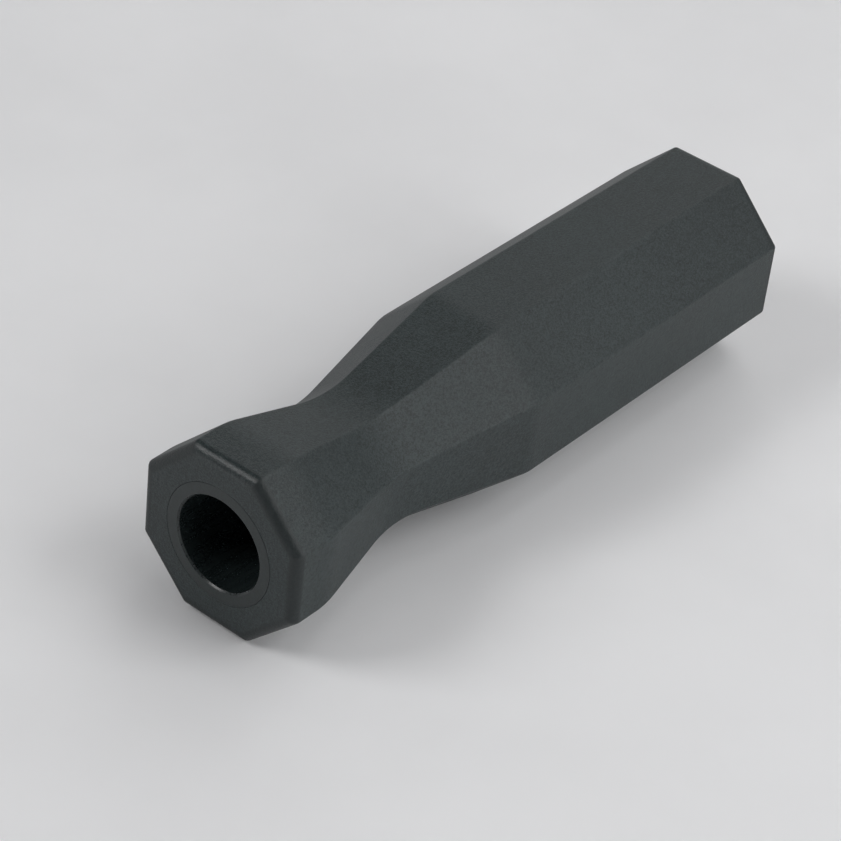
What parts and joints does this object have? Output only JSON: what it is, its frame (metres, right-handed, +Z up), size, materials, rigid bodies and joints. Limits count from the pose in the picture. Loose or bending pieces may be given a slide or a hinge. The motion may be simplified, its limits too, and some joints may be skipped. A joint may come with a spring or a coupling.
{
  "type": "table football rod handle",
  "caption": "Octagonal waisted push-on handle for a round rod, with an inner rod sleeve, a retaining screw with washers and a push-in end plug.",
  "frame": {"origin": "centre of the rod bore's mouth, in the flat face of the collar", "axes": "+X along the rod's axis from the collar to the butt, +Z up with the handle lying on one of its eight flats"},
  "size_m": [0.121, 0.032, 0.032],
  "materials": {
    "grip_plastic": "fine spark-eroded satin texture, charcoal black",
    "sleeve_plastic": "smooth moulded, slightly glossier than the grip",
    "zinc_steel": "bright zinc plate",
    "plug_plastic": "satin moulded"
  },
  "bodies": {
    "handle": {"grip_body": "grip_plastic", "rod_sleeve": "sleeve_plastic"},
    "plug": {"end_plug": "plug_plastic"},
    "washers": {"flat_washer": "zinc_steel", "lock_washer": "zinc_steel"},
    "screw": {"retaining_screw": "zinc_steel"}
  },
  "joints": [
    {"name": "plug_pull", "type": "slide", "parent": "handle", "child": "plug", "axis": [1, 0, 0], "range_m": [0, 0.025]},
    {"name": "screw_travel", "type": "slide", "parent": "handle", "child": "washers", "axis": [-1, 0, 0], "range_m": [0, 0.016]},
    {"name": "screw_turn", "type": "hinge", "parent": "washers", "child": "screw", "pos_m": [0.0928, 0, 0], "axis": [-1, 0, 0], "continuous": true}
  ]
}
